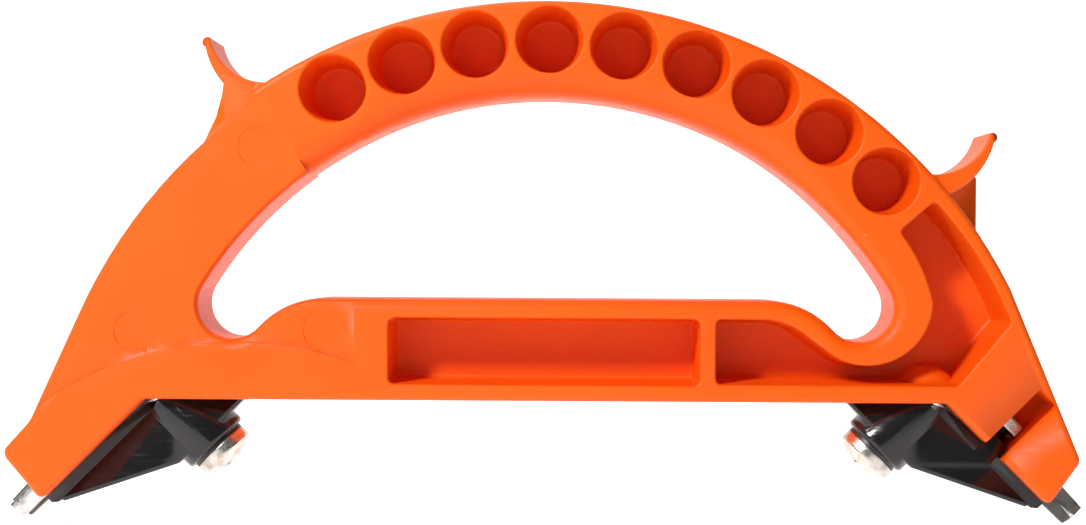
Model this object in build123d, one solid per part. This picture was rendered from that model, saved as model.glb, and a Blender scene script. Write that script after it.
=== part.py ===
from build123d import *
import os
from math import sin, cos, tan, sqrt, radians, degrees, atan2

# Double-ended brick jointer. One moulded arch handle carries, at each end, two short
# blades side by side in a channel, held by a jaw. The jaw rocks on a tie bolt: the
# screw in its heel pushes against the handle, and so the jaw's tip presses the blades.
# X runs along the tool, Y through its thickness (the front faces -Y), Z is up.
# Sizes are in millimetres, angles in degrees.

# ---- handle: overall shape ---------------------------------------------------------
ARCH_R = 120.3            # outer radius of the arch, centred on the origin
ARCH_LEG_R = 117.8        # outer radius below the left horn
GRIP_R = 93.5             # radius of the hand opening's arch
GRIP_RISE = 4.6           # height of that arch's centre
DEPTH = 24.0              # thickness of the handle, front to back
LOBE_R = 8.0              # rounded lower corners of the hand opening
LOBE_Z = 49.9             # height of their centres
BAR_TOP = 51.4            # top of the base bar
BAR_BOTTOM = 27.8         # underside of the base bar
SHOULDER_X = 51.0         # where the bar's top starts to fall into a lobe
OUTER_ROUND = 1.5         # edge rounding on the outside of the arch
RIM_ROUND = 3.0           # edge rounding round the hand opening
PALM_ROUND = 7.5          # the deeper rounding along the palm side of the grip
GRIP_START, GRIP_END = 42.0, 124.5   # the rounded grip, as angles on the arch

# ---- legs: u runs down along a leg, v away from the jaw, both at 45 degrees ----------
FACE_V = 85.3             # flat face that the jaw lies on
LEG_END_U = 79.2          # end face of the leg
FOOT_X, FOOT_Z = 123.8, 14.6         # outer corner of the foot
LEG_ANGLE = 27.0          # where the leg's straight outer side leaves the arch
KNEE_X, KNEE_Z = 119.0, 22.6         # flared left foot: where its flare starts
FOOT_ROUND = 2.2

# ---- pockets, trays, cores -----------------------------------------------------------
POCKETS = 9
POCKET_RING_R = 111.3
POCKET_FIRST, POCKET_PITCH = 116.4, -8.89
POCKET_R = 7.7
POCKET_FLOOR_R = 6.3
POCKET_DEPTH = 17.0
TRAY_LEFT, TRAY_RIGHT = -36.3, 35.7
TRAY_BOTTOM, TRAY_TOP = 31.6, 47.0
TRAY_DEPTH = 16.0
DIVIDER = 3.6             # rib between the tray and the leg's core
CORE_DEPTH = 18.0
CORE_TOP = 47.0
CORE_CORNERS = [(81.5, 67.6), (89.6, 74.6)]      # radial wall below the last pocket
CORE_OUTER = (107.4, 46.6)
CORE_FOOT = (95.2, 31.9)
WALL_DRAFT = 2.5
RIM_EDGE = 0.7            # small rounding on the rims of pockets, trays and cores
FLOOR_ROUND = 1.0         # rounding where a tray's or core's floor meets its walls
FLARE = 68.0              # how far round the rounding of a pocket's mouth goes
PANEL_SINK = 0.8          # the flat leg panel lies this far below the rest
PANEL_CREST = [(-118.4, 24.8), (-98.6, 36.0), (-76.0, 41.0), (-45.0, 36.4)]
PANEL_RIGHT = -44.2
MARK_R = 4.75             # ejector pin marks
MARK_SINK = 0.15
MARKS = [(-95.0, 43.5), (-51.4, 44.0), (-66.6, 86.2)]
CORE_MARK, CORE_MARK_R = (95.5, 47.0), 4.2       # the mark in the core's floor

# ---- thumb horns ---------------------------------------------------------------------
HORN_CHORD = 16.6
HORN_SAG = 2.9
HORN_TIP = 2.3            # thickness at the tip
HORN_BELLY = 3.3          # thickness half way
HORN_ROOT = 6.2           # thickness at the root
HORN_WIDTH = 21.0
HORN_EDGE = 0.5           # rounding along its sides
HORN_ROOT_IN = 2.5        # how far the root reaches into the arch
WEB_THICK = 4.5
WEB_FACE = 10.8           # the web's face, from the middle of the handle
LEFT_HORN_AT, LEFT_HORN_LEAN = 122.8, 18.7
RIGHT_HORN_AT, RIGHT_HORN_LEAN = 42.2, 6.5
# the webs' outer edges, in the horn's own plane: outwards, then down along the leg
LEFT_WEB = [(6.9, 6.6), (2.9, 9.9), (-0.8, 13.9), (-4.6, 20.0), (-8.0, 20.0)]
RIGHT_WEB = [(10.6, 5.6), (9.8, 9.3), (-2.1, 22.4), (-7.5, 22.4)]
WEB_ROOT = (-6.0, 1.0)

# ---- clamp ---------------------------------------------------------------------------
SCREW_U = 43.0            # axis of the clamp screw
TIE_U = 61.5              # axis of the tie bolt
OPEN_ANGLE = 2.75         # how far the jaw can rock open
STRIP = 2.8               # pressure strip thickness
STRIP_START, STRIP_END = 46.9, 78.9
STRIP_BEND = 1.0          # how far past the tie bolt the strip starts to fall away
JAW_HALF = 6.5            # half the jaw's thickness
JAW_HEEL_V = 69.2
JAW_TIP_U = 76.7
JAW_TIP_BLUNT = 0.8
JAW_TOP_Z = BAR_BOTTOM + 0.5
JAW_EDGE = 1.0
BOSS_R = 8.2
BOSS_END_V = 66.4
BOSS_EDGE = 1.1
SCREW_R = 3.0             # M6
SCREW_HEAD_R = 7.0
HEAD_SIDE, HEAD_DOME = 2.8, 1.9
RECESS_DEPTH = 2.4
WASHER = 0.7
WASHER_R = 6.9
BOSS_GAP = 0.1            # between washer and boss
RUNNING = 0.06            # radial running clearance
INSERT_R, INSERT_LENGTH, INSERT_START_V = 4.5, 10.0, 68.0
SEAT_R, SEAT_THICK = 4.0, 2.0
SEAT_V = 86.0
SEAT_GAP = 0.05
DOME_R, DOME_V = 7.3, 84.0
HEEL_ROOM = 0.6           # room round the heel in its slot
SLOT_TOP = 30.4
TONGUE_U0, TONGUE_U1 = 58.95, 63.7
TONGUE_TOP = 88.4
TONGUE_Y1 = -2.3
TIE_R = 1.7               # M3.5
TIE_HEAD_R, TIE_HEAD = 3.2, 2.2
TIE_HEAD_V = 78.4
TIE_TOP = 95.0
NUT_SIDE, NUT_THICK = 5.8, 2.8
NUT_V = 91.8
GROOVE_WIDTH = 6.1
GROOVE_END_V = 103.0
GROOVE_BACK = 3.2
LEDGE_GAP = 0.2

# ---- blades --------------------------------------------------------------------------
BLADE_WIDTH = 6.2
BLADE_THICK = 3.0
BLADE_GAP = 0.2           # from the middle plane to a blade
BLADE_ROOT_U = 68.3
CHANNEL_START_U = 66.3
CHANNEL_CLEAR = 0.15
FORK_REACH = 7.4
FORK_GAP = 0.9
BAR_REACH = 8.8
BAR_NOSE = 4.5
BAR_STEP = 0.7            # step from the tang's side to the nose's

DIAG = sqrt(0.5)
HALF = DEPTH / 2
END = Plane(origin=(0, 0, 0), x_dir=(1, 0, -1), z_dir=(0, -1, 0))
LIFT = (LEG_END_U + BAR_REACH - FACE_V - BAR_STEP) * DIAG   # puts the bars' noses on z = 0


def to_xz(u, v):
    """Leg coordinates (u, v) as (x, z)."""
    return (u + v) * DIAG, (v - u) * DIAG


def on_circle(radius, angle, centre=(0, 0)):
    """Point (x, z) on a circle."""
    return centre[0] + radius * cos(radians(angle)), centre[1] + radius * sin(radians(angle))


def front(y):
    """Sketch plane at a given y: its x is X, its y is Z, and it extrudes towards -Y."""
    return Plane(origin=(0, y, 0), x_dir=(1, 0, 0), z_dir=(0, -1, 0))


def slab(outline, y0, y1):
    """Extrude an (x, z) face, drawn on front(0), from y0 to the smaller y1."""
    return extrude(Pos(0, y0, 0) * outline, amount=y0 - y1)


def face_of(points, plane=front(0)):
    return plane * make_face(Polyline(*points, close=True))


def box_uv(u0, u1, v0, v1, y0, y1):
    """Block in leg coordinates, from y0 (back) to y1 (front, smaller)."""
    return slab(face_of([(u0, v0), (u1, v0), (u1, v1), (u0, v1)], END), y0, y1)


def rod_uv(u, v0, v1, radius, y=0.0):
    """Cylinder along v, from v0 to v1."""
    x, z = to_xz(u, v0)
    base = Plane(origin=(x, y, z), x_dir=(0, 1, 0), z_dir=(1, 0, 1))
    return extrude(base * Circle(radius), amount=v1 - v0)


def other_end(part):
    """The left end is the right end turned half a turn about Z."""
    return Rot(0, 0, 180) * part


def edges_near(part, test):
    return ShapeList([e for e in part.edges() if test(e)])


# ---- handle ----------------------------------------------------------------------------

def opening_outline():
    """Hand opening: arch, two lobes tangent to it, two shoulders and the bar's top."""
    lobe_x = sqrt((GRIP_R - LOBE_R) ** 2 - (LOBE_Z - GRIP_RISE) ** 2)
    meet = degrees(atan2(LOBE_Z - GRIP_RISE, lobe_x))
    run = lobe_x - SHOULDER_X
    drop = LOBE_Z - BAR_TOP
    # the shoulder arc touches the bar's top line and the lobe circle from outside
    shoulder = (run ** 2 + drop ** 2 - LOBE_R ** 2) / (2 * (LOBE_R - drop))
    lean = degrees(atan2(drop + shoulder, run))
    arch = CenterArc((0, GRIP_RISE), GRIP_R, meet, 180 - 2 * meet)
    edges = [arch]
    for side in (1, -1):
        centre = (side * lobe_x, LOBE_Z)
        mid = (side * SHOULDER_X, BAR_TOP - shoulder)
        if side == 1:
            edges.append(CenterArc(centre, LOBE_R, meet, -(meet + 180 - lean)))
            edges.append(CenterArc(mid, shoulder, lean, 90 - lean))
        else:
            edges.append(CenterArc(centre, LOBE_R, 180 - meet, meet + 180 - lean))
            edges.append(CenterArc(mid, shoulder, 180 - lean, lean - 90))
    edges.append(Line((-SHOULDER_X, BAR_TOP), (SHOULDER_X, BAR_TOP)))
    return make_face(Wire(edges))


def handle_outline():
    """Outside of the arch and legs, with the underside of the bar between the feet."""
    right_top = on_circle(ARCH_R, LEG_ANGLE)
    left_high = on_circle(ARCH_R, LEFT_HORN_AT)
    left_low = on_circle(ARCH_LEG_R, LEFT_HORN_AT)
    left_knee = on_circle(ARCH_LEG_R, 180 - LEG_ANGLE + 3)
    face_x = FACE_V / DIAG - BAR_BOTTOM
    toe = to_xz(LEG_END_U, FACE_V)
    sweep = 180 - LEG_ANGLE + 3 - LEFT_HORN_AT
    parts = [
        CenterArc((0, 0), ARCH_R, LEG_ANGLE, LEFT_HORN_AT - LEG_ANGLE),
        Line(left_high, left_low),
        CenterArc((0, 0), ARCH_LEG_R, LEFT_HORN_AT, sweep),
        Line(left_knee, (-KNEE_X, KNEE_Z)),
        Line((-KNEE_X, KNEE_Z), (-FOOT_X - 1.8, FOOT_Z + 0.6)),
        Line((-FOOT_X - 1.8, FOOT_Z + 0.6), (-toe[0], toe[1])),
        Line((-toe[0], toe[1]), (-face_x, BAR_BOTTOM)),
        Line((-face_x, BAR_BOTTOM), (face_x, BAR_BOTTOM)),
        Line((face_x, BAR_BOTTOM), toe),
        Line(toe, (FOOT_X, FOOT_Z)),
        Line((FOOT_X, FOOT_Z), right_top),
    ]
    face = make_face(Wire(parts))
    feet = [p for p in face.vertices() if abs(p.X) > FOOT_X - 0.5 and p.Y < FOOT_Z + 1]
    face = fillet(feet, FOOT_ROUND)
    knee = [p for p in face.vertices() if abs(p.X + KNEE_X) < 0.1 and abs(p.Y - KNEE_Z) < 0.1]
    return fillet(knee, 6.0)


def grip_section(angle):
    """Cross-section of the grip in the radial plane at an angle on the arch."""
    inner = GRIP_RISE * sin(radians(angle)) \
        + sqrt(GRIP_R ** 2 - (GRIP_RISE * cos(radians(angle))) ** 2)
    ease = min(1.0, max(0.0, (angle - GRIP_START) / 22.0))
    least = RIM_ROUND + 0.2
    palm = least + (PALM_ROUND - least) * ease * ease * (3 - 2 * ease)
    radial = (cos(radians(angle)), 0, sin(radians(angle)))
    tangent = (sin(radians(angle)), 0, -cos(radians(angle)))
    face = make_face(Polyline((inner, -HALF), (ARCH_R, -HALF), (ARCH_R, HALF), (inner, HALF),
                              close=True))
    face = fillet([p for p in face.vertices() if p.X > ARCH_R - 0.1], OUTER_ROUND)
    face = fillet([p for p in face.vertices() if p.X < inner + 0.1], palm)
    return Plane(origin=(0, 0, 0), x_dir=radial, z_dir=tangent) * face


def sector():
    """The stretch of arch that the grip fills, as an (x, z) face."""
    near, far = 82, 2 * ARCH_R
    mid = (GRIP_START + GRIP_END) / 2
    return face_of([on_circle(near, GRIP_START), on_circle(far, GRIP_START),
                    on_circle(far, mid), on_circle(far, GRIP_END),
                    on_circle(near, GRIP_END)])


def rounded_shell():
    """Legs and base bar with their edges rounded, joined to the rounded grip."""
    hole = front(0) * opening_outline()
    body = slab(front(0) * handle_outline() - hole - sector(), HALF, -HALF)
    rim = hole.face().outer_wire()

    def flat_edge(edge):
        ends = edge.vertices()
        angle = degrees(atan2(edge.center().Z, edge.center().X))
        cut = min(abs(angle - GRIP_START), abs(angle - GRIP_END)) < 0.01
        return all(abs(abs(v.Y) - HALF) < 1e-4 for v in ends) and not cut

    def on_rim(edge):
        return rim.distance_to(Vector(edge.center().X, 0, edge.center().Z)) < 0.6

    flats = edges_near(body, flat_edge)
    inner = ShapeList([e for e in flats if on_rim(e)])
    body = fillet(inner, RIM_ROUND)
    outer = ShapeList([e for e in edges_near(body, flat_edge)
                       if rim.distance_to(Vector(e.center().X, 0, e.center().Z)) > 3.5])
    body = fillet(outer, OUTER_ROUND)
    angles = [GRIP_START, 52, 62, 74, 92, 108, GRIP_END]
    return body + loft([grip_section(a) for a in angles])


def pocket(angle):
    """Tapered round pocket with a flared mouth, open to the front."""
    x, z = on_circle(POCKET_RING_R, angle)
    lip_r, lip_y = POCKET_R + RIM_EDGE * (1 - cos(radians(FLARE))), RIM_EDGE
    lip_top = RIM_EDGE * (1 - sin(radians(FLARE)))
    past = 1.0
    run = (past + lip_top) * tan(radians(FLARE))
    half = RIM_EDGE * (1 - cos(radians(FLARE / 2))), RIM_EDGE * (1 - sin(radians(FLARE / 2)))
    profile = front(0) * make_face(Wire([
        Line((0, -POCKET_DEPTH), (POCKET_FLOOR_R - 0.8, -POCKET_DEPTH)),
        ThreePointArc((POCKET_FLOOR_R - 0.8, -POCKET_DEPTH),
                      (POCKET_FLOOR_R - 0.2, -POCKET_DEPTH + 0.25),
                      (POCKET_FLOOR_R + 0.05, -POCKET_DEPTH + 0.8)),
        Line((POCKET_FLOOR_R + 0.05, -POCKET_DEPTH + 0.8), (POCKET_R, -lip_y)),
        ThreePointArc((POCKET_R, -lip_y), (POCKET_R + half[0], -half[1]), (lip_r, -lip_top)),
        Line((lip_r, -lip_top), (lip_r + run, past)),
        Line((lip_r + run, past), (0, past)),
        Line((0, past), (0, -POCKET_DEPTH)),
    ]))
    plug = revolve(profile, axis=Axis((0, 0, 0), (0, 0, 1)), revolution_arc=360)
    return Pos(x, -HALF, z) * (Rot(90, 0, 0) * plug)


def lip(outline):
    """A little of a cutter past the front face, so that it cuts cleanly through."""
    return slab(outline, -HALF, -HALF - 1)


def tray_outline():
    spot = Pos((TRAY_LEFT + TRAY_RIGHT) / 2, (TRAY_BOTTOM + TRAY_TOP) / 2)
    return spot * RectangleRounded(TRAY_RIGHT - TRAY_LEFT, TRAY_TOP - TRAY_BOTTOM, 1.6)


def sunk(outline, depth):
    """Tapered cutter of an outline, from the front face down to a depth."""
    deep = extrude(front(-HALF) * outline, amount=-depth, taper=WALL_DRAFT)
    floor = edges_near(deep, lambda e: abs(e.center().Y + HALF - depth) < 0.01)
    return fillet(floor, FLOOR_ROUND) + lip(front(0) * outline)


def core_outline():
    """Cored space of a leg: along the bar, under the lobe and up the leg."""
    left = TRAY_RIGHT + DIVIDER
    corner, top = CORE_CORNERS
    bend = (66.6, 38.6)
    parts = [
        Line((left, CORE_FOOT[1]), (left, CORE_TOP)),
        Line((left, CORE_TOP), (SHOULDER_X, CORE_TOP)),
        ThreePointArc((SHOULDER_X, CORE_TOP), (56.4, 45.7), (60.6, 43.0)),
        Line((60.6, 43.0), bend),
        ThreePointArc(bend, (80.6, 37.9), (89.4, 51.0)),
        ThreePointArc((89.4, 51.0), (86.4, 59.9), corner),
        Line(corner, top),
        ThreePointArc(top, (99.4, 62.0), CORE_OUTER),
        Line(CORE_OUTER, CORE_FOOT),
        Line(CORE_FOOT, (left, CORE_FOOT[1])),
    ]
    face = make_face(Wire(parts))
    sharp = [v for v in face.vertices()
             if min((v.center() - Vector(*p, 0)).length
                    for p in (corner, top, CORE_OUTER, CORE_FOOT,
                              (left, CORE_FOOT[1]), (left, CORE_TOP))) < 0.05]
    return fillet(sharp, 1.4)


def panel():
    """Shallow flat on the leg, above an arched step and beside the tray's frame."""
    far = 2 * ARCH_R
    near, out = on_circle(70, GRIP_END), on_circle(far, GRIP_END)
    low, high = PANEL_CREST[0], PANEL_CREST[-1]
    side = (PANEL_RIGHT, BAR_TOP + 5)
    outline = make_face(Wire([
        Line((-far, low[1]), low),
        Spline(*PANEL_CREST),
        Line(high, (PANEL_RIGHT, high[1])),
        Line((PANEL_RIGHT, high[1]), side),
        Line(side, near),
        Line(near, out),
        Line(out, (-far, out[1])),
        Line((-far, out[1]), (-far, low[1])),
    ]))
    return slab(front(0) * outline, -HALF + PANEL_SINK, -HALF - 1)


def mark(spot, radius, floor):
    """Shallow round ejector mark in a floor that lies at y."""
    return extrude(front(floor + MARK_SINK) * (Pos(*spot) * Circle(radius)), amount=2)


def marks():
    on_panel = [mark(spot, MARK_R, PANEL_SINK - HALF) for spot in MARKS]
    return on_panel + [mark(CORE_MARK, CORE_MARK_R, CORE_DEPTH - HALF)]


def horn(at, lean, side, web_y, web_edge):
    """Thumb horn at an angle on the arch: a curved plate with a web under it.
    side is 1 where the horn bends to the right, -1 where it bends to the left."""
    half = HORN_CHORD / 2
    radius = (half ** 2 + HORN_SAG ** 2) / (2 * HORN_SAG)
    tip_in, tip_out = (HORN_CHORD, 0.0), (HORN_CHORD - 0.6, HORN_TIP)
    root_in, root_out = (-HORN_ROOT_IN, -1.2), (-HORN_ROOT_IN, HORN_ROOT - 0.5)
    plate = make_face(Wire([
        ThreePointArc((0, 0), (half, HORN_SAG), tip_in),
        ThreePointArc(tip_in, (HORN_CHORD + 0.75, HORN_TIP / 2 + 0.1), tip_out),
        ThreePointArc(tip_out, (half - 0.4, HORN_SAG + HORN_BELLY),
                      (0.8, HORN_ROOT)),
        Line((0.8, HORN_ROOT), root_out),
        Line(root_out, root_in),
        Line(root_in, (0, 0)),
    ]))
    web = make_face(Polyline(WEB_ROOT, *web_edge, close=True))
    root = on_circle(ARCH_R, at)

    def frame(angle):
        """Local x leaves the arch at the angle, local y points down the leg."""
        return Plane(origin=(root[0], 0, root[1]), z_dir=(0, side, 0),
                     x_dir=(cos(radians(angle)), 0, sin(radians(angle))))

    place = frame(at - side * lean)
    solid = extrude(place * plate, amount=HORN_WIDTH / 2, both=True)
    solid = fillet(edges_near(solid, lambda e: abs(abs(e.center().Y) - HORN_WIDTH / 2) < 0.01
                              and e.length > 4), HORN_EDGE)
    return solid + extrude(frame(at).offset(side * web_y) * web, amount=WEB_THICK / 2, both=True)


def hollowed(body, outline, depth):
    """Cut a tray or core into the front of the handle and round its rim."""
    body -= sunk(outline, depth)
    rim = (front(0) * outline).face().outer_wire()

    def on_rim(edge):
        mid = edge @ 0.5
        return abs(mid.Y + HALF) < 0.001 and rim.distance_to(Vector(mid.X, 0, mid.Z)) < 0.01

    return fillet(edges_near(body, on_rim), RIM_EDGE)


def end_cuts():
    """What a leg loses to the blades, jaw, tie bolt and nut, at the right end."""
    low = BAR_BOTTOM - 1.5
    heel = JAW_HEEL_V - HEEL_ROOM
    slot = slab(face_of([(heel / DIAG - low, low), (FACE_V / DIAG - low, low),
                         (FACE_V / DIAG - SLOT_TOP, SLOT_TOP),
                         (heel / DIAG - SLOT_TOP - 0.6, SLOT_TOP)]),
                BOSS_R + 0.5, -BOSS_R - 0.5)
    half = BLADE_GAP + BLADE_THICK + CHANNEL_CLEAR
    channel = box_uv(CHANNEL_START_U, LEG_END_U + 5, FACE_V - 1,
                     FACE_V + BLADE_WIDTH + CHANNEL_CLEAR, half, -half)
    gap = GROOVE_WIDTH / 2
    groove = box_uv(TIE_U - gap, TIE_U + gap, NUT_V - LEDGE_GAP, GROOVE_END_V,
                    GROOVE_BACK, -HALF - 1)
    stem = box_uv(TIE_U - gap, TIE_U + gap, FACE_V - 1, NUT_V - LEDGE_GAP,
                  TIE_R + 0.25, -HALF - 1)
    socket = rod_uv(SCREW_U, FACE_V - 4.5, SEAT_V + SEAT_THICK, SEAT_R + RUNNING)
    return [slot, channel, groove, stem, socket]


def seat_dome():
    x, z = to_xz(SCREW_U, DOME_V)
    ball = Pos(x, 0, z) * Sphere(DOME_R)
    return ball & slab(face_of([(60, BAR_BOTTOM + 1), (110, BAR_BOTTOM + 1), (110, 50), (60, 50)]),
                       HALF, -HALF)


def handle_body():
    body = rounded_shell()
    body += horn(LEFT_HORN_AT, LEFT_HORN_LEAN, -1, WEB_THICK / 2 - WEB_FACE, LEFT_WEB)
    body += horn(RIGHT_HORN_AT, RIGHT_HORN_LEAN, 1, WEB_FACE - WEB_THICK / 2, RIGHT_WEB)
    for i in range(POCKETS):
        body -= pocket(POCKET_FIRST + POCKET_PITCH * i)
    body = hollowed(body, tray_outline(), TRAY_DEPTH)
    body = hollowed(body, core_outline(), CORE_DEPTH)
    body = other_end(hollowed(other_end(body), core_outline(), CORE_DEPTH))
    for cut in [panel()] + marks():
        body -= [cut, other_end(cut)]
    body += [seat_dome(), other_end(seat_dome())]
    for cut in end_cuts():
        body -= [cut, other_end(cut)]
    return body


# ---- clamp, at the right end -----------------------------------------------------------

def clamp_jaw():
    """Black wedge with a round boss for the screw and a tongue that enters the groove."""
    top = FACE_V - STRIP
    heel_u = JAW_HEEL_V - JAW_TOP_Z / DIAG
    top_u = top - JAW_TOP_Z / DIAG
    wedge_outline = face_of([(heel_u, JAW_HEEL_V), (top_u, top), (JAW_TIP_U, top),
                             (JAW_TIP_U, top - JAW_TIP_BLUNT),
                             (SCREW_U + BOSS_R + 0.4, JAW_HEEL_V)], END)
    jaw = slab(wedge_outline, JAW_HALF, -JAW_HALF)
    outer = edges_near(jaw, lambda e: abs(abs(e.center().Y) - JAW_HALF) < 0.01
                       and e.center().Z < JAW_TOP_Z - 0.1
                       and (e.center().X + e.center().Z) * DIAG < top - 0.1
                       and e.length > 5)
    jaw = fillet(outer, JAW_EDGE)
    boss = rod_uv(SCREW_U, BOSS_END_V, top, BOSS_R)
    boss = fillet(edges_near(boss, lambda e: (e.center().X + e.center().Z) * DIAG
                             < BOSS_END_V + 0.1 and e.length > 30), BOSS_EDGE)
    room = slab(face_of([(40, 0), (130, 0), (130, JAW_TOP_Z), (40, JAW_TOP_Z)]), HALF, -HALF)
    tongue = box_uv(TONGUE_U0, TONGUE_U1, top - 4, TONGUE_TOP, TONGUE_Y1, -JAW_HALF)
    jaw += boss & room
    jaw += tongue
    jaw -= rod_uv(SCREW_U, BOSS_END_V - 1, top + 2, SCREW_R + 0.3)
    jaw -= rod_uv(SCREW_U, INSERT_START_V, top + 2, INSERT_R)
    jaw -= rod_uv(TIE_U, TIE_HEAD_V - 8, TIE_HEAD_V + TIE_HEAD, TIE_HEAD_R + 0.3)
    jaw -= rod_uv(TIE_U, TIE_HEAD_V, top + 2, TIE_R + RUNNING)
    return jaw


def pressure_strip():
    """Thin strip between jaw and leg; its heel half falls away so that the jaw can rock."""
    low = FACE_V - STRIP
    bend = TIE_U + STRIP_BEND
    fall = (bend - STRIP_START) * sin(radians(OPEN_ANGLE)) + 0.1
    strip = slab(face_of([(STRIP_START, low), (STRIP_END - 1.2, low), (STRIP_END, low + 1.0),
                          (STRIP_END, FACE_V), (bend, FACE_V), (STRIP_START, FACE_V - fall)],
                         END), JAW_HALF, -JAW_HALF)
    strip -= box_uv(TONGUE_U0 - RUNNING, TONGUE_U1 + RUNNING, low - 1, FACE_V + 1,
                    TONGUE_Y1 + RUNNING, -HALF)
    strip -= rod_uv(TIE_U, low - 1, FACE_V + 1, TIE_R + RUNNING)
    return strip


def thread_insert():
    """Threaded sleeve in the boss, pushed in from the handle's side."""
    sleeve = rod_uv(SCREW_U, INSERT_START_V, INSERT_START_V + INSERT_LENGTH, INSERT_R)
    return sleeve - rod_uv(SCREW_U, INSERT_START_V - 1, INSERT_START_V + INSERT_LENGTH + 1,
                           SCREW_R + RUNNING)


def revolve_v(outline, u):
    """Turn an outline of (radius, v) points about the axis along v at u."""
    x, z = to_xz(u, 0)
    plane = Plane(origin=(x, 0, z), x_dir=(1, 0, -1), z_dir=(0, -1, 0))
    face = plane * make_face(Polyline(*outline, close=True))
    return revolve(face, axis=Axis((x, 0, z), (1, 0, 1)), revolution_arc=360)


def screw_head_v():
    return BOSS_END_V - BOSS_GAP - WASHER


def clamp_screw():
    """Cross-recessed pan head screw whose cone point pushes on the seat."""
    under = screw_head_v()
    tip = SEAT_V - SEAT_GAP
    side = under - HEAD_SIDE
    shank = revolve_v([(0, under), (SCREW_R, under), (SCREW_R, tip - 1.8), (1.2, tip), (0, tip)],
                      SCREW_U)
    x, z = to_xz(SCREW_U, 0)
    plane = Plane(origin=(x, 0, z), x_dir=(1, 0, -1), z_dir=(0, -1, 0))
    crown = side - HEAD_DOME
    head = plane * make_face(Wire([
        Line((0, under), (SCREW_HEAD_R - 0.15, under)),
        Line((SCREW_HEAD_R - 0.15, under), (SCREW_HEAD_R, side + 0.4)),
        Line((SCREW_HEAD_R, side + 0.4), (SCREW_HEAD_R - 0.5, side)),
        ThreePointArc((SCREW_HEAD_R - 0.5, side),
                      ((SCREW_HEAD_R - 0.5) / 2, side - 0.76 * HEAD_DOME), (0, crown)),
        Line((0, crown), (0, under)),
    ]))
    screw = shank + revolve(head, axis=Axis((x, 0, z), (1, 0, 1)), revolution_arc=360)
    return screw - [cross_recess(crown)]


def cross_recess(crown):
    """Four tapered wings that meet in a pointed centre."""
    floor = crown + RECESS_DEPTH
    start, end = to_xz(SCREW_U, crown - 0.3), to_xz(SCREW_U, floor)
    top = Plane(origin=(start[0], 0, start[1]), x_dir=(0, 1, 0), z_dir=(1, 0, 1))
    deep = Plane(origin=(end[0], 0, end[1]), x_dir=(0, 1, 0), z_dir=(1, 0, 1))
    one = loft([top * Rectangle(6.4, 1.15), deep * Rectangle(2.4, 0.7)])
    two = loft([top * Rectangle(1.15, 6.4), deep * Rectangle(0.7, 2.4)])
    return one + two


def washer():
    under = screw_head_v()
    ring = rod_uv(SCREW_U, under, under + WASHER, WASHER_R)
    return ring - rod_uv(SCREW_U, under - 1, under + WASHER + 1, SCREW_R + RUNNING)


def screw_seat():
    """Steel button in the handle that takes the screw's point."""
    return rod_uv(SCREW_U, SEAT_V, SEAT_V + SEAT_THICK, SEAT_R)


def tie_bolt():
    head = rod_uv(TIE_U, TIE_HEAD_V, TIE_HEAD_V + TIE_HEAD, TIE_HEAD_R)
    bolt = head + rod_uv(TIE_U, TIE_HEAD_V + 1, TIE_TOP, TIE_R)
    x, z = to_xz(TIE_U, TIE_HEAD_V)
    plane = Plane(origin=(x, 0, z), x_dir=(0, 1, 0), z_dir=(1, 0, 1))
    return bolt - extrude(plane * RegularPolygon(1.25, 6), amount=1.3)


def tie_nut():
    """Square nut on the end of the tie bolt, in the leg's groove."""
    half = NUT_SIDE / 2
    nut = box_uv(TIE_U - half, TIE_U + half, NUT_V, NUT_V + NUT_THICK, half, -half)
    nut = chamfer(nut.edges(), 0.25)
    return nut - rod_uv(TIE_U, NUT_V - 1, NUT_V + NUT_THICK + 1, TIE_R + RUNNING)


# ---- blades, at the right end ------------------------------------------------------------

def rake_fork():
    """Flat blade whose tip is split into two teeth."""
    low, high = FACE_V, FACE_V + BLADE_WIDTH
    tip = LEG_END_U + FORK_REACH
    notch = low + 2.55
    outline = face_of([(BLADE_ROOT_U, low), (LEG_END_U, low), (tip - 0.3, low + 0.2),
                       (tip, notch - 0.1), (LEG_END_U + 1.2, notch + 0.5),
                       (tip + 0.3, notch + FORK_GAP), (tip + 0.2, high - 0.3),
                       (LEG_END_U + 0.5, high), (BLADE_ROOT_U, high)], END)
    return slab(outline, -BLADE_GAP, -BLADE_GAP - BLADE_THICK)


def jointing_bar():
    """Narrow nose with rounded edges on a full-width tang."""
    low, high = FACE_V, FACE_V + BLADE_WIDTH
    nose_low = low + BAR_STEP
    tang = box_uv(BLADE_ROOT_U, LEG_END_U - 0.6, low, high, BLADE_GAP + BLADE_THICK, BLADE_GAP)
    nose = box_uv(LEG_END_U - 2, LEG_END_U + BAR_REACH, nose_low, nose_low + BAR_NOSE,
                  BLADE_GAP + BLADE_THICK, BLADE_GAP)
    long_edges = edges_near(nose, lambda e: abs(e.length - BAR_REACH - 2) < 0.01)
    return tang + fillet(long_edges, 1.0)


def half_parts():
    """Every piece of one end, in the right end's place."""
    return {
        "clamp_jaw": clamp_jaw(),
        "pressure_strip": pressure_strip(),
        "thread_insert": thread_insert(),
        "clamp_screw": clamp_screw(),
        "screw_washer": washer(),
        "screw_seat": screw_seat(),
        "tie_bolt": tie_bolt(),
        "tie_nut": tie_nut(),
        "rake_fork": rake_fork(),
        "jointing_bar": jointing_bar(),
    }


def main():
    os.makedirs("parts", exist_ok=True)
    lift = Pos(0, 0, LIFT)
    export_step(lift * handle_body(), "parts/handle_body.step")
    for name, part in half_parts().items():
        export_step(lift * part, f"parts/right_{name}.step")
        export_step(lift * other_end(part), f"parts/left_{name}.step")


if __name__ == "__main__":
    main()
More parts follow.
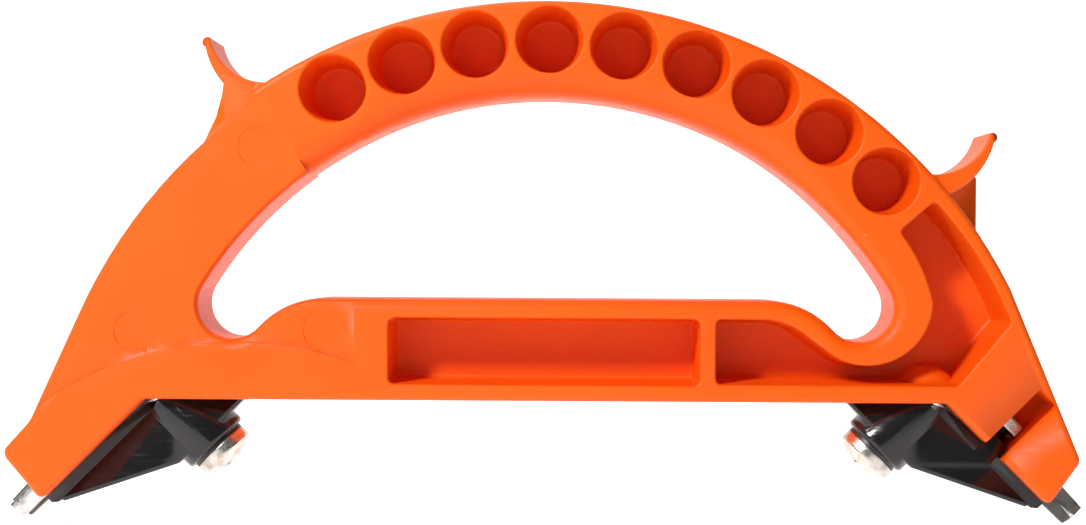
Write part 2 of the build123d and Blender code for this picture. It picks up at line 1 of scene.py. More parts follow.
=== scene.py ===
"""Looks of the double-ended brick jointer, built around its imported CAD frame."""
import logging
import math
from dataclasses import dataclass, field
from enum import Enum
from typing import Any, Iterable, Optional, Sequence, Union

import bmesh
import bpy
import numpy as np
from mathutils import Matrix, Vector


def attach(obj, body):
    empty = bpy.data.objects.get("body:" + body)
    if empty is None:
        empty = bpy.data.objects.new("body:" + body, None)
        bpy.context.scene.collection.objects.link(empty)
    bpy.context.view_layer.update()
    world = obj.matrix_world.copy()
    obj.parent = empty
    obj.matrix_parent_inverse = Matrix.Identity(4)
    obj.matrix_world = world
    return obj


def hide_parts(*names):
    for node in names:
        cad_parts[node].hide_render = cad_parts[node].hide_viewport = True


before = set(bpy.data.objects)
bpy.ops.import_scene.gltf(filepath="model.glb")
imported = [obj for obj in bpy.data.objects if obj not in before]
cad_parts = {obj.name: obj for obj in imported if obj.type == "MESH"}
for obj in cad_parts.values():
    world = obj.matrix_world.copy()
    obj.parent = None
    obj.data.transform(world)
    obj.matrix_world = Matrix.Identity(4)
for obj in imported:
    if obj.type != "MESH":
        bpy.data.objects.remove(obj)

logging.basicConfig(level=logging.INFO, format="%(message)s")
LOG = logging.getLogger("jointer")

MM = 0.001
DIAG = math.sqrt(0.5)
LIFT = 1.414          # height of the leg coordinates' origin above the floor, in mm
TAU = 2.0 * math.pi

Array = np.ndarray
Value = Union["Socket", float, Sequence[float]]


# ---- node graphs -----------------------------------------------------------------------


class Op(str, Enum):
    """Math node operations in use."""

    ADD = "ADD"
    SUBTRACT = "SUBTRACT"
    MULTIPLY = "MULTIPLY"
    DIVIDE = "DIVIDE"
    POWER = "POWER"


class Socket:
    """An output socket that can be used in arithmetic.

    Args:
        graph: The graph the socket belongs to.
        raw: Blender's own socket.
    """

    def __init__(self, graph: "Graph", raw: bpy.types.NodeSocket) -> None:
        self.graph = graph
        self.raw = raw

    def __add__(self, other: Value) -> "Socket":
        return self.graph.math(Op.ADD, self, other)

    def __radd__(self, other: Value) -> "Socket":
        return self.graph.math(Op.ADD, other, self)

    def __sub__(self, other: Value) -> "Socket":
        return self.graph.math(Op.SUBTRACT, self, other)

    def __rsub__(self, other: Value) -> "Socket":
        return self.graph.math(Op.SUBTRACT, other, self)

    def __mul__(self, other: Value) -> "Socket":
        return self.graph.math(Op.MULTIPLY, self, other)

    def __rmul__(self, other: Value) -> "Socket":
        return self.graph.math(Op.MULTIPLY, other, self)

    def __truediv__(self, other: Value) -> "Socket":
        return self.graph.math(Op.DIVIDE, self, other)

    def __rtruediv__(self, other: Value) -> "Socket":
        return self.graph.math(Op.DIVIDE, other, self)

    def __pow__(self, other: Value) -> "Socket":
        return self.graph.math(Op.POWER, self, other)

    def band(self, low: float, high: float) -> "Socket":
        """Smooth step from 0 at low to 1 at high."""
        return self.graph.node(
            "ShaderNodeMapRange",
            props={"interpolation_type": "SMOOTHSTEP"},
            inputs={"Value": self, "From Min": low, "From Max": high},
        )["Result"]


class NodeView:
    """A node whose outputs are read by name as sockets."""

    def __init__(self, graph: "Graph", raw: bpy.types.Node) -> None:
        self.graph = graph
        self.raw = raw

    def __getitem__(self, name: Union[str, int]) -> Socket:
        return Socket(self.graph, self.raw.outputs[name])


class Graph:
    """The node tree of one material.

    Args:
        name: Name of the new material.
    """

    def __init__(self, name: str) -> None:
        self.material = bpy.data.materials.new(name)
        self.material.use_nodes = True
        self.tree = self.material.node_tree
        self.tree.nodes.clear()

    def node(
        self,
        kind: str,
        props: Optional[dict[str, Any]] = None,
        inputs: Optional[dict[Union[str, int], Value]] = None,
    ) -> NodeView:
        """Make any node.

        Args:
            kind: Blender's node type name.
            props: Settings of the node itself.
            inputs: Socket name or index, with the value or socket that feeds it.

        Returns:
            The node, its outputs readable by name.
        """
        raw = self.tree.nodes.new(kind)
        for key, value in (props or {}).items():
            setattr(raw, key, value)
        for key, value in (inputs or {}).items():
            self.feed(raw.inputs[key], value)
        return NodeView(self, raw)

    def feed(self, target: bpy.types.NodeSocket, value: Value) -> None:
        """Link a socket to an input, or set the input's constant."""
        if isinstance(value, Socket):
            self.tree.links.new(value.raw, target)
        elif isinstance(value, (int, float, str)):
            target.default_value = value
        else:
            wide = len(target.default_value)
            target.default_value = tuple(value) + (1.0,) * (wide - len(value))

    def math(self, op: Op, a: Value, b: Value = 0.0) -> Socket:
        """One Math node."""
        return self.node(
            "ShaderNodeMath", props={"operation": op.value}, inputs={0: a, 1: b}
        )["Value"]

    def place(self, scale: Sequence[float] = (1.0, 1.0, 1.0),
              turn: Sequence[float] = (0.0, 0.0, 0.0)) -> Socket:
        """Object coordinates, scaled and turned (radians)."""
        here = self.node("ShaderNodeTexCoord")["Object"]
        return self.node(
            "ShaderNodeMapping",
            inputs={"Vector": here, "Scale": scale, "Rotation": turn},
        )["Vector"]

    def noise(self, where: Socket, scale: float, detail: float = 2.0,
              rough: float = 0.5) -> Socket:
        """Noise from 0 to 1."""
        return self.node(
            "ShaderNodeTexNoise",
            inputs={"Vector": where, "Scale": scale, "Detail": detail, "Roughness": rough},
        )["Fac"]

    def blend(self, amount: Value, low: Sequence[float], high: Sequence[float]) -> Socket:
        """Colour between low and high."""
        made = self.node("ShaderNodeMix", props={"data_type": "RGBA"})
        self.feed(made.raw.inputs[0], amount)
        self.feed(made.raw.inputs[6], low)
        self.feed(made.raw.inputs[7], high)
        return Socket(self, made.raw.outputs[2])

    def bump(self, height: Socket, strength: float, reach: float) -> Socket:
        """Normal of a bump whose full height is reach metres."""
        return self.node(
            "ShaderNodeBump",
            inputs={"Height": height, "Strength": strength, "Distance": reach},
        )["Normal"]

    def shader(self, inputs: dict[str, Value]) -> bpy.types.Material:
        """Finish the material with one Principled shader."""
        made = self.node("ShaderNodeBsdfPrincipled", inputs=inputs)
        out = self.tree.nodes.new("ShaderNodeOutputMaterial")
        self.tree.links.new(made["BSDF"].raw, out.inputs["Surface"])
        return self.material


# ---- finishes --------------------------------------------------------------------------


@dataclass(frozen=True)
class Finish:
    """Base of every finish.

    Attributes:
        name: Material name.
        slot: The record's material slot it stands for; not used.
    """

    name: str
    slot: str

    def build(self) -> bpy.types.Material:
        """Make the material."""
        raise NotImplementedError


@dataclass(frozen=True)
class MouldedPlastic(Finish):
    """Injection-moulded plastic: even colour, faint flow clouding, fine grain, scuffs.

    Attributes:
        color: Main colour.
        cloud: Colour of the clouding.
        rough: Least roughness.
        rough_spread: What the scuffs add to it.
        grain: Depth of the grain in metres.
        grain_scale: Fineness of the grain.
        specular: Strength of the surface reflection.
    """

    color: tuple[float, float, float] = (0.9, 0.12, 0.0)
    cloud: tuple[float, float, float] = (0.8, 0.1, 0.0)
    rough: float = 0.36
    rough_spread: float = 0.12
    grain: float = 0.000012
    grain_scale: float = 900.0
    specular: float = 0.5

    def build(self) -> bpy.types.Material:
        g = Graph(self.name)
        here = g.place()
        flow = g.noise(here, 22.0, 3.0, 0.55)
        fine = g.noise(here, self.grain_scale, 2.0, 0.6)
        swell = g.noise(here, 55.0, 1.0)
        scuff = g.noise(g.place((1.0, 1.0, 7.0), (0.0, 0.6, 0.0)), 160.0, 4.0, 0.7)
        height = fine * 0.55 + swell * 0.45
        return g.shader({
            "Base Color": g.blend(flow.band(0.35, 0.7), self.color, self.cloud),
            "Roughness": self.rough + self.rough_spread * scuff.band(0.45, 0.75),
            "Specular IOR Level": self.specular,
            "Normal": g.bump(height, 0.8, self.grain),
        })


@dataclass(frozen=True)
class PlatedMetal(Finish):
    """Plated or turned metal: bright, mottled and slightly granular.

    Attributes:
        color: Main colour.
        stain: Colour of the mottling.
        rough: Least roughness.
        grain: Depth of the grain in metres.
    """

    color: tuple[float, float, float] = (0.62, 0.61, 0.56)
    stain: tuple[float, float, float] = (0.42, 0.38, 0.3)
    rough: float = 0.26
    grain: float = 0.00002

    def build(self) -> bpy.types.Material:
        g = Graph(self.name)
        here = g.place()
        mottle = g.noise(here, 420.0, 3.0, 0.6)
        speck = g.noise(here, 2600.0, 2.0, 0.7)
        return g.shader({
            "Base Color": g.blend(mottle.band(0.4, 0.75), self.color, self.stain),
            "Metallic": 1.0,
            "Roughness": self.rough + 0.2 * speck.band(0.4, 0.8),
            "Normal": g.bump(speck * 0.6 + mottle * 0.4, 0.7, self.grain),
        })


@dataclass(frozen=True)
class GroundSteel(Finish):
    """Hardened steel with grinding lines across the blade's width.

    Attributes:
        color: Main colour.
        stain: Colour of the stained patches.
        rough: Least roughness.
        lines: Depth of the grinding lines in metres.
    """

    color: tuple[float, float, float] = (0.6, 0.6, 0.6)
    stain: tuple[float, float, float] = (0.3, 0.27, 0.22)
    rough: float = 0.28
    lines: float = 0.00002

    def build(self) -> bpy.types.Material:
        g = Graph(self.name)
        lines = g.noise(g.place((900.0, 900.0, 60.0), (0.0, 0.785, 0.0)), 1.0, 3.0, 0.6)
        patch = g.noise(g.place(), 380.0, 4.0, 0.65)
        return g.shader({
            "Base Color": g.blend(patch.band(0.48, 0.74), self.color, self.stain),
            "Metallic": 1.0,
            "Roughness": self.rough + 0.25 * patch.band(0.4, 0.8),
            "Normal": g.bump(lines, 0.6, self.lines),
        })


@dataclass(frozen=True)
class Backdrop(Finish):
    """Plain pale floor whose glow grows behind the tool, so that it stays near white there.

    Attributes:
        color: Colour under the lamps.
        glow: Strength of the glow.
    """

    color: tuple[float, float, float] = (0.9, 0.9, 0.9)
    glow: float = 1.0

    def build(self) -> bpy.types.Material:
        g = Graph(self.name)
        here = g.node("ShaderNodeTexCoord")["Object"]
        depth = g.node("ShaderNodeSeparateXYZ", inputs={"Vector": here})["Y"]
        return g.shader({
            "Base Color": self.color,
            "Roughness": 0.9,
            "Emission Color": g.blend(depth.band(-0.15, 0.06), (0.1, 0.1, 0.1), (0.9, 0.9, 0.9)),
            "Emission Strength": self.glow,
        })


ORANGE = MouldedPlastic("orange_moulding", "orange_plastic", color=(0.9, 0.108, 0.0005),
                        cloud=(0.84, 0.098, 0.001), rough=0.44, specular=0.26)
BLACK = MouldedPlastic("black_moulding", "black_plastic", color=(0.006, 0.006, 0.0065),
                       cloud=(0.011, 0.011, 0.012), rough=0.14, rough_spread=0.16,
                       grain=0.00004, grain_scale=500.0)
STRIP = MouldedPlastic("strip_moulding", "black_strip", color=(0.012, 0.012, 0.013),
                       cloud=(0.02, 0.02, 0.021), rough=0.4, grain=0.00003)
ZINC = PlatedMetal("zinc_plate", "zinc")
BRASS = PlatedMetal("turned_brass", "brass", color=(0.75, 0.5, 0.18),
                    stain=(0.55, 0.35, 0.12), rough=0.22)
SEAT_STEEL = PlatedMetal("plain_steel", "seat_steel", color=(0.42, 0.42, 0.42),
                         stain=(0.3, 0.29, 0.27), rough=0.3)
BOLT_STEEL = PlatedMetal("bolt_steel", "dark_steel", color=(0.16, 0.14, 0.12),
                         stain=(0.1, 0.085, 0.07), rough=0.36)
DARK_STEEL = GroundSteel("rake_steel", "dark_steel", color=(0.13, 0.125, 0.115),
                         stain=(0.07, 0.06, 0.05), rough=0.34)
BRIGHT_STEEL = GroundSteel("bar_steel", "bright_steel", color=(0.68, 0.68, 0.67),
                           stain=(0.4, 0.37, 0.32), rough=0.22)
PALE = Backdrop("pale_floor", "stage")


class Finishes:
    """Builds each finish once."""

    def __init__(self) -> None:
        self._made: dict[str, bpy.types.Material] = {}

    def get(self, finish: Finish) -> bpy.types.Material:
        """Return the finish's material."""
        if finish.name not in self._made:
            self._made[finish.name] = finish.build()
        return self._made[finish.name]


# ---- meshes ----------------------------------------------------------------------------


@dataclass(frozen=True)
class End:
    """One end of the tool. Its axes are u down the leg, y through it, v away from the jaw.

    Attributes:
        name: right or left.
        turn: 1 for the right end, -1 for the left one, half a turn about Z from it.
    """

    name: str
    turn: int

    def place(self, u: Array, y: Array, v: Array) -> Array:
        """Points in metres from leg coordinates in millimetres."""
        x, z = (u + v) * DIAG, (v - u) * DIAG + LIFT
        return np.stack([x * self.turn, y * self.turn, z], axis=-1) * MM

    def node(self, name: str) -> str:
        """The CAD node of this end."""
        return f"{self.name}_{name}"


ENDS = (End("right", 1), End("left", -1))


def sheet_faces(rows: int, cols: int) -> Array:
    """Quads of a grid that closes on itself along its columns."""
    r, c = np.meshgrid(np.arange(rows - 1), np.arange(cols), indexing="ij")
    a, b = r * cols + c, r * cols + (c + 1) % cols
    return np.stack([a, b, b + cols, a + cols], axis=-1).reshape(-1, 4)


def mesh_object(name: str, points: Array, faces: Array) -> bpy.types.Object:
    """Make an object from whole arrays of points and quads.

    Args:
        name: Name of the piece.
        points: (rows, cols, 3) or (n, 3) points in metres.
        faces: (m, 4) point numbers.

    Returns:
        The linked object, smooth shaded.
    """
    mesh = bpy.data.meshes.new(name)
    mesh.from_pydata(points.reshape(-1, 3).tolist(), [], faces.tolist())
    mesh.polygons.foreach_set("use_smooth", np.ones(len(mesh.polygons), dtype=bool))
    mesh.update()
    obj = bpy.data.objects.new(name, mesh)
    bpy.context.scene.collection.objects.link(obj)
    return obj


def soften(obj: bpy.types.Object, angle: float) -> None:
    """Mark creases sharper than angle (degrees) and weight the normals by face size."""
    obj.data.set_sharp_from_angle(angle=math.radians(angle))
    keep = obj.modifiers.new("faces", "WEIGHTED_NORMAL")
    keep.keep_sharp = True


def cad_copy(node: str, name: str) -> bpy.types.Object:
    """Welded copy of a CAD node's mesh."""
    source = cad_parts[node]
    mesh = source.data.copy()
    work = bmesh.new()
    work.from_mesh(mesh)
    bmesh.ops.remove_doubles(work, verts=work.verts, dist=2e-6)
    work.to_mesh(mesh)
    work.free()
    mesh.materials.clear()
    mesh.polygons.foreach_set("use_smooth", np.ones(len(mesh.polygons), dtype=bool))
    obj = bpy.data.objects.new(name, mesh)
    bpy.context.scene.collection.objects.link(obj)
    return obj


@dataclass
class Builder:
    """Dresses and attaches every piece."""

    finishes: Finishes = field(default_factory=Finishes)

    def attach(self, obj: bpy.types.Object, finish: Finish, body: str,
               replaces: Iterable[str] = ()) -> bpy.types.Object:
        """Give a piece its finish, body and the CAD nodes it stands for."""
        obj.data.materials.clear()
        obj.data.materials.append(self.finishes.get(finish))
        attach(obj, body)
        for node in replaces:
            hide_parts(node)
        LOG.info("%s rides on %s", obj.name, body)
        return obj

    def skin(self, node: str, body: str, finish: Finish, angle: float = 40.0) -> None:
        """Show a CAD node through a welded copy with soft creases."""
        obj = cad_copy(node, f"{node}_skin")
        soften(obj, angle)
        self.attach(obj, finish, body, [node])


def profile_rows(points: Sequence[tuple[float, float]], steps: int) -> Array:
    """Evenly divided runs between profile points, with both ends kept."""
    pts = np.array(points, float)
    runs = [pts[i] + (pts[i + 1] - pts[i]) * np.linspace(0, 1, steps, endpoint=False)[:, None]
            for i in range(len(pts) - 1)]
    return np.concatenate(runs + [pts[-1:]])


@dataclass(frozen=True)
class PanScrew:
    """Clamp screw: pan head with a cross recess, and a threaded shank with a cone point.

    Attributes:
        axis_u: Place of the axis along the leg.
        under_v: Underside of the head.
        head_r: Head radius.
        side: Height of the head's upright band.
        dome: Height of the dome above it.
        shank_r: Outer radius of the thread.
        tip_v: End of the point.
        pitch: Thread pitch.
        recess: Depth of the cross at the centre.
        recess_turn: Angle of the cross about the axis, in radians.
    """

    axis_u: float = 43.0
    under_v: float = 65.6
    head_r: float = 7.0
    side: float = 2.8
    dome: float = 1.9
    shank_r: float = 3.0
    tip_v: float = 85.95
    pitch: float = 1.0
    recess: float = 2.3
    recess_turn: float = 0.35

    def head(self, end: End) -> tuple[Array, Array]:
        """Head surface. The height over the underside is the band's height plus a dome of
        revolution; inside the cross it falls by the recess depth times the larger of two
        crossed wings, each wing fading with distance along it."""
        rim = profile_rows([(2.5, 0.0), (self.head_r - 0.35, 0.0), (self.head_r - 0.06, 0.12),
                            (self.head_r, 0.4), (self.head_r, self.side - 0.55),
                            (self.head_r - 0.12, self.side - 0.2),
                            (self.head_r - 0.45, self.side)], 5)
        inner = self.head_r - 0.45
        crown = inner * np.linspace(1, 0, 150)[1:] ** 0.9
        radius = np.concatenate([rim[:, 0], crown])
        height = np.concatenate([rim[:, 1], self.side + self.dome * (1 - (crown / inner) ** 2.2)])
        phi = np.linspace(0, TAU, 288, endpoint=False)
        r, a = radius[:, None], phi[None, :]
        turned = a + self.recess_turn
        along, across = r * np.cos(turned), r * np.sin(turned)
        wing = np.maximum(self._wing(along, across), self._wing(across, along))
        top = (np.arange(len(radius)) >= len(rim))[:, None]
        h = height[:, None] - np.where(top, self.recess * wing, 0.0)
        u = self.axis_u + r * np.cos(a)
        y = r * np.sin(a) + 0 * h
        points = end.place(u + 0 * h, y, self.under_v - h)
        return points, sheet_faces(len(radius), len(phi))

    @staticmethod
    def _wing(along: Array, across: Array) -> Array:
        """One wing of the cross: full depth at the centre, none past its end or sides."""
        reach = np.clip((3.3 - np.abs(along)) / 2.4, 0, 1)
        width = 0.42 + 0.18 * reach
        side = np.clip((width + 0.14 - np.abs(across)) / 0.14, 0, 1)
        return side * reach ** 0.6

    def shank(self, end: End) -> tuple[Array, Array]:
        """Thread. The radius is the outer radius less a triangle wave whose phase grows
        with height and with angle, and it shrinks to the cone point."""
        v = np.linspace(self.under_v - 0.2, self.tip_v, 360)[:, None]
        a = np.linspace(0, TAU, 48, endpoint=False)[None, :]
        phase = (v / self.pitch - a / TAU) % 1.0
        wave = np.clip(np.abs(phase - 0.5) * 2.6 - 0.15, 0, 1)
        point = np.clip((self.tip_v - v) / 1.8, 0, 1)
        limit = 1.2 + (self.shank_r - 1.2) * point
        r = np.minimum(self.shank_r - 0.55 * wave, limit)
        u = self.axis_u + r * np.cos(a)
        return end.place(u, r * np.sin(a), v + 0 * r), sheet_faces(v.shape[0], a.shape[1])


@dataclass(frozen=True)
class SquareNut:
    """Square nut with broken edges and a plain bore.

    Attributes:
        axis_u: Place of the axis along the leg.
        low_v: Face nearer the jaw.
        side: Width across the flats.
        thick: Thickness along the axis.
        bore_r: Radius of the bore.
        square_power: Power of the norm that rounds the corners.
    """

    axis_u: float = 61.5
    low_v: float = 91.8
    side: float = 5.8
    thick: float = 2.8
    bore_r: float = 1.76
    square_power: int = 26

    def surface(self, end: End) -> tuple[Array, Array]:
        """Each ring blends from the bore's circle to a rounded square by its own weight:
        the square's radius is half the side over the larger of cosine and sine, taken
        through a high power norm so that its corners are rounded."""
        top = self.thick
        rows = profile_rows([(0, 0.0), (0.12, 0.0), (0.93, 0.0), (1.0, 0.22), (1.0, top - 0.22),
                             (0.93, top), (0.12, top), (0.0, top - 0.25), (0.0, 0.0)], 6)
        a = np.linspace(0, TAU, 160, endpoint=False)[None, :]
        power = self.square_power
        norm = (np.abs(np.cos(a)) ** power + np.abs(np.sin(a)) ** power) ** (-1 / power)
        square = np.minimum(self.side / 2 * norm, self.side / 2 * 1.33)
        w = rows[:, :1]
        r = self.bore_r * (1 - w) + square * w
        v = self.low_v + rows[:, 1:] + 0 * r
        u = self.axis_u + r * np.cos(a)
        return end.place(u, r * np.sin(a), v), sheet_faces(len(rows), a.shape[1])


@dataclass(frozen=True)
class TieBolt:
    """Tie bolt: socket head and a threaded shank with a broken end.

    Attributes:
        axis_u: Place of the axis along the leg.
        head_v: Top of the head.
        head_r: Head radius.
        head: Height of the head.
        socket_r: Radius of the hexagon socket's corners.
        socket: Depth of the socket.
        shank_r: Outer radius of the thread.
        top_v: End of the shank.
        pitch: Thread pitch.
    """

    axis_u: float = 61.5
    head_v: float = 78.4
    head_r: float = 3.2
    head: float = 2.2
    socket_r: float = 1.25
    socket: float = 1.3
    shank_r: float = 1.7
    top_v: float = 95.0
    pitch: float = 0.6

    def surface(self, end: End) -> tuple[Array, Array]:
        """Rings from the socket's floor over the head to the shank's end. On the shank the
        radius loses a triangle wave whose phase grows with height and angle; in the socket
        it follows a hexagon."""
        a = np.linspace(0, TAU, 96, endpoint=False)[None, :]
        hexagon = self.socket_r * math.cos(math.pi / 6) / np.cos((a % (TAU / 6)) - TAU / 12)
        head = profile_rows([(1.0, self.head_v), (self.head_r - 0.25, self.head_v),
                             (self.head_r, self.head_v + 0.3),
                             (self.head_r, self.head_v + self.head),
                             (1.0, self.head_v + self.head)], 4)
        socket_r = np.concatenate([0 * a, hexagon, hexagon, hexagon])
        socket_v = np.array([self.socket, self.socket, 0.6, 0.0])[:, None] + self.head_v + 0 * a
        v = np.linspace(self.head_v + self.head, self.top_v, 260)[:, None]
        phase = (v / self.pitch - a / TAU) % 1.0
        cone = np.clip((self.top_v - v) / 0.35, 0, 1)
        thread = (self.shank_r - 0.3 * np.abs(phase - 0.5) * 2) * (0.86 + 0.14 * cone)
        head_r = np.where(head[:, :1] <= 1.0, hexagon, head[:, :1])
        head_r[-1] = self.shank_r
        cap_r = np.array([0.6, 0.0])[:, None] * self.shank_r + 0 * a
        r = np.concatenate([socket_r, head_r, thread, cap_r])
        rows_v = np.concatenate([socket_v, head[:, 1:] + 0 * a, v + 0 * a,
                                 np.full((2, a.shape[1]), self.top_v)])
        u = self.axis_u + r * np.cos(a)
        return end.place(u, r * np.sin(a), rows_v), sheet_faces(r.shape[0], a.shape[1])


@dataclass(frozen=True)
class NoseBar:
    """Jointing blade: a plain tang and a narrower nose with full rounded edges.

    Attributes:
        root_u: Hidden end of the tang.
        tang_u: Where the tang narrows to the nose.
        tip_u: End of the nose.
        tip_run: Length over which the nose's end is rounded.
        low_v: Side of the tang nearer the jaw.
        wide: Width of the tang.
        nose_low: Side of the nose nearer the jaw.
        nose: Width of the nose.
        y0: Face nearer the middle of the tool.
        thick: Thickness.
        tang_power: Superellipse power of the tang's section.
        nose_power: Superellipse power of the nose's section.
    """

    root_u: float = 68.3
    tang_u: float = 78.6
    tip_u: float = 88.0
    tip_run: float = 1.2
    low_v: float = 85.3
    wide: float = 6.2
    nose_low: float = 86.0
    nose: float = 4.5
    y0: float = 0.2
    thick: float = 3.0
    tang_power: float = 12.0
    nose_power: float = 3.4

    def surface(self, end: End) -> tuple[Array, Array]:
        """Rings round the blade. Each ring is a superellipse whose half sizes go from the
        tang's to the nose's over a short shoulder, and shrink like a quarter circle at the
        tip; its power falls from a near-rectangle on the tang to a soft edge on the nose."""
        s = np.concatenate([np.linspace(0, 0.25, 4), np.linspace(0.3, 9.9, 40),
                            np.linspace(10.0, 10.6, 12), np.linspace(10.7, 18.5, 66),
                            18.5 + self.tip_run * np.sin(np.linspace(0.02, math.pi / 2, 26))])
        u = self.root_u + s[:, None]
        a = np.linspace(0, TAU, 120, endpoint=False)[None, :]
        shoulder = np.clip((u - self.tang_u + 0.3) / 0.5, 0, 1)
        shoulder = shoulder * shoulder * (3 - 2 * shoulder)
        rounding = np.clip((u - self.tip_u + self.tip_run) / self.tip_run, 0, 1)
        tip = np.sqrt(np.clip(1 - rounding ** 2, 0, 1))
        start = np.clip(s[:, None] / 0.2, 0, 1) * 0.05 + 0.95
        half_v = self.wide / 2 * (1 - shoulder) + self.nose / 2 * shoulder
        mid_v = ((self.low_v + self.wide / 2) * (1 - shoulder)
                 + (self.nose_low + self.nose / 2) * shoulder)
        half_y = self.thick / 2
        power = self.tang_power * (1 - shoulder) + self.nose_power * shoulder
        c, d = np.cos(a), np.sin(a)
        norm = (np.abs(c) ** power + np.abs(d) ** power) ** (-1 / power)
        shrink_v = start * (0.25 + 0.75 * tip)
        shrink_y = start * (0.12 + 0.88 * tip)
        v = mid_v + half_v * norm * c * shrink_v
        y = self.y0 + half_y + half_y * norm * d * shrink_y
        points = end.place(u + 0 * v, y, v)
        first = points[:1].mean(axis=1, keepdims=True) + 0 * points[:1]
        last = points[-1:].mean(axis=1, keepdims=True) + 0 * points[-1:]
        points = np.concatenate([first, points, last])
        return points, sheet_faces(points.shape[0], a.shape[1])


# ---- sub-assemblies --------------------------------------------------------------------


@dataclass
class Handle:
    """The orange moulding."""

    builder: Builder

    def build(self) -> None:
        """Show the handle through a welded copy."""
        self.builder.skin("handle_body", "handle", ORANGE, 50.0)


@dataclass
class Clamp:
    """Jaw, strip, screw, washer, insert, seat, tie bolt and nut of one end."""

    builder: Builder
    end: End
    screw: PanScrew = field(default_factory=PanScrew)
    nut: SquareNut = field(default_factory=SquareNut)
    bolt: TieBolt = field(default_factory=TieBolt)

    def build(self) -> None:
        """Make every piece of the clamp."""
        b, e = self.builder, self.end
        jaw = f"{e.name}_jaw"
        b.skin(e.node("clamp_jaw"), jaw, BLACK, 50.0)
        b.skin(e.node("pressure_strip"), jaw, STRIP)
        b.skin(e.node("thread_insert"), jaw, BRASS)
        b.skin(e.node("screw_seat"), "handle", SEAT_STEEL)
        b.skin(e.node("screw_washer"), f"{e.name}_washer", STRIP)
        head = mesh_object(e.node("screw_head"), *self.screw.head(e))
        soften(head, 45.0)
        b.attach(head, ZINC, f"{e.name}_screw", [e.node("clamp_screw")])
        shank = mesh_object(e.node("screw_shank"), *self.screw.shank(e))
        b.attach(shank, ZINC, f"{e.name}_screw")
        nut = mesh_object(e.node("nut_body"), *self.nut.surface(e))
        soften(nut, 30.0)
        b.attach(nut, ZINC, jaw, [e.node("tie_nut")])
        bolt = mesh_object(e.node("bolt_body"), *self.bolt.surface(e))
        soften(bolt, 40.0)
        b.attach(bolt, BOLT_STEEL, jaw, [e.node("tie_bolt")])


@dataclass
class Blades:
    """Rake fork and jointing bar of one end."""

    builder: Builder
    end: End
    bar: NoseBar = field(default_factory=NoseBar)

    def build(self) -> None:
        """Make both blades."""
        b, e = self.builder, self.end
        b.skin(e.node("rake_fork"), f"{e.name}_fork", DARK_STEEL, 30.0)
        bar = mesh_object(e.node("bar_body"), *self.bar.surface(e))
        soften(bar, 50.0)
        b.attach(bar, BRIGHT_STEEL, f"{e.name}_bar", [e.node("jointing_bar")])


# ---- studio ----------------------------------------------------------------------------


@dataclass(frozen=True)
class Lamp:
    """One soft area light aimed at a point."""

    name: str
    at: tuple[float, float, float]
    aim: tuple[float, float, float]
    size: float
    power: float
    color: tuple[float, float, float] = (1.0, 1.0, 1.0)

    def build(self) -> None:
        """Make the light."""
        data = bpy.data.lights.new(self.name, "AREA")
        data.shape, data.size, data.energy, data.color = "DISK", self.size, self.power, self.color
        obj = bpy.data.objects.new(self.name, data)
        bpy.context.scene.collection.objects.link(obj)
        obj.location = self.at
        towards = Vector(self.aim) - Vector(self.at)
        obj.rotation_mode = "QUATERNION"
        obj.rotation_quaternion = towards.to_track_quat("-Z", "Y")


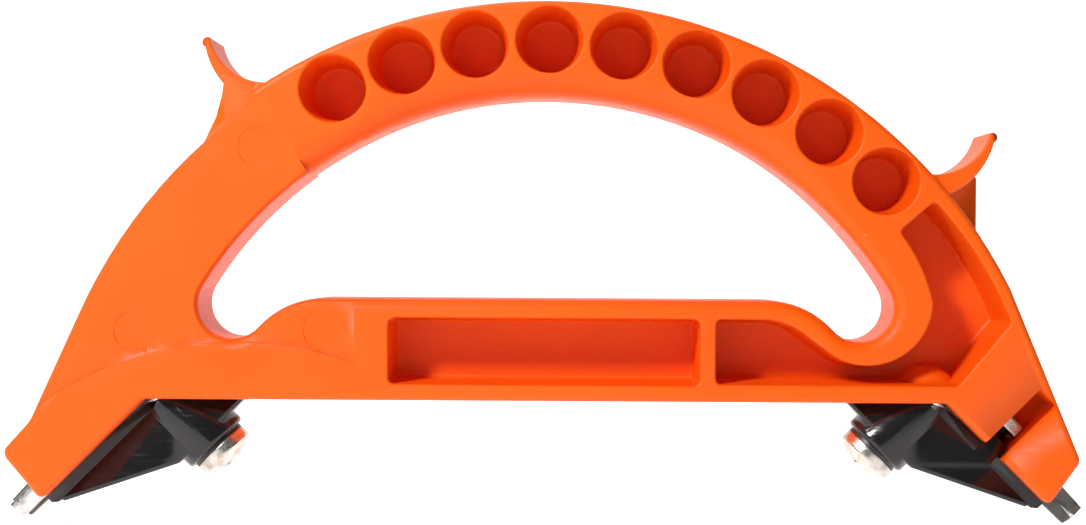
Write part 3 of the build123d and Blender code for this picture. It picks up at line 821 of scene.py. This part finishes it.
@dataclass
class Studio:
    """Floor, world, lights and the camera at the photograph's viewing angle.

    Attributes:
        finishes: Where the floor's material comes from.
        reach: Distance from the camera to the middle of the tool.
        roll: Roll of the camera in degrees.
        lens: Focal length in millimetres.
        aim: X and Z of the middle of the picture.
        aside: How far the camera stands to the right of the aim.
        front_y: How far the tool's front face is in front of its middle.
        world: Strength of the white surroundings.
        lamps: The area lights.
    """

    finishes: Finishes
    reach: float = 0.482
    roll: float = -0.35
    lens: float = 67.65
    aim: tuple[float, float] = (-0.0007, 0.0613)
    aside: float = 0.005
    front_y: float = 0.012
    world: float = 0.11
    lamps: tuple[Lamp, ...] = (
        Lamp("key", (-0.38, -0.56, 0.49), (0.0, 0.0, 0.06), 0.14, 6.4),
        Lamp("top", (-0.15, 0.1, 0.8), (0.0, 0.0, 0.06), 0.3, 2.0),
    )

    def build(self) -> None:
        """Set up the studio."""
        scene = bpy.context.scene
        scene.view_settings.view_transform = "Standard"
        world = bpy.data.worlds.new("studio")
        world.use_nodes = True
        world.node_tree.nodes["Background"].inputs["Color"].default_value = (1, 1, 1, 1)
        world.node_tree.nodes["Background"].inputs["Strength"].default_value = self.world
        scene.world = world
        for lamp in self.lamps:
            lamp.build()
        self._floor()
        self._camera()

    def _floor(self) -> None:
        """Floor that sweeps up into a backdrop: the height is zero in front and follows a
        quarter circle behind."""
        x = np.linspace(-3.0, 3.0, 2)
        run = np.concatenate([[-3.0], np.linspace(1.2, 2.2, 24), [2.2]])
        bend = 1.0 - np.sqrt(np.clip(1 - np.linspace(0, 1, 24) ** 2, 0, 1))
        rise = np.concatenate([[0.0], bend, [4.0]])
        gx, gy = np.meshgrid(x, run)
        gz = np.repeat(rise[:, None], 2, axis=1)
        points = np.stack([gx, gy, gz - 0.0005], axis=-1)
        rows = np.arange(len(run) - 1)
        faces = np.stack([rows * 2, rows * 2 + 1, rows * 2 + 3, rows * 2 + 2], axis=-1)
        floor = mesh_object("floor", points, faces)
        floor.data.materials.append(self.finishes.get(PALE))

    def _camera(self) -> None:
        """Level camera in front of the tool, rolled a little as the photograph is."""
        data = bpy.data.cameras.new("camera")
        data.lens, data.sensor_width = self.lens, 36.0
        data.clip_start, data.clip_end = 0.01, 20.0
        cam = bpy.data.objects.new("camera", data)
        bpy.context.scene.collection.objects.link(cam)
        cam.location = (self.aim[0] + self.aside, -self.reach, self.aim[1])
        near = self.reach - self.front_y
        data.shift_x = -self.aside / near * self.lens / data.sensor_width
        cam.rotation_euler = (math.pi / 2, math.radians(self.roll), 0.0)
        bpy.context.scene.camera = cam


def main() -> None:
    """Build the scene."""
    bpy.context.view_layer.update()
    finishes = Finishes()
    builder = Builder(finishes)
    Handle(builder).build()
    for end in ENDS:
        Clamp(builder, end).build()
        Blades(builder, end).build()
    Studio(finishes).build()


if __name__ == "__main__":
    main()
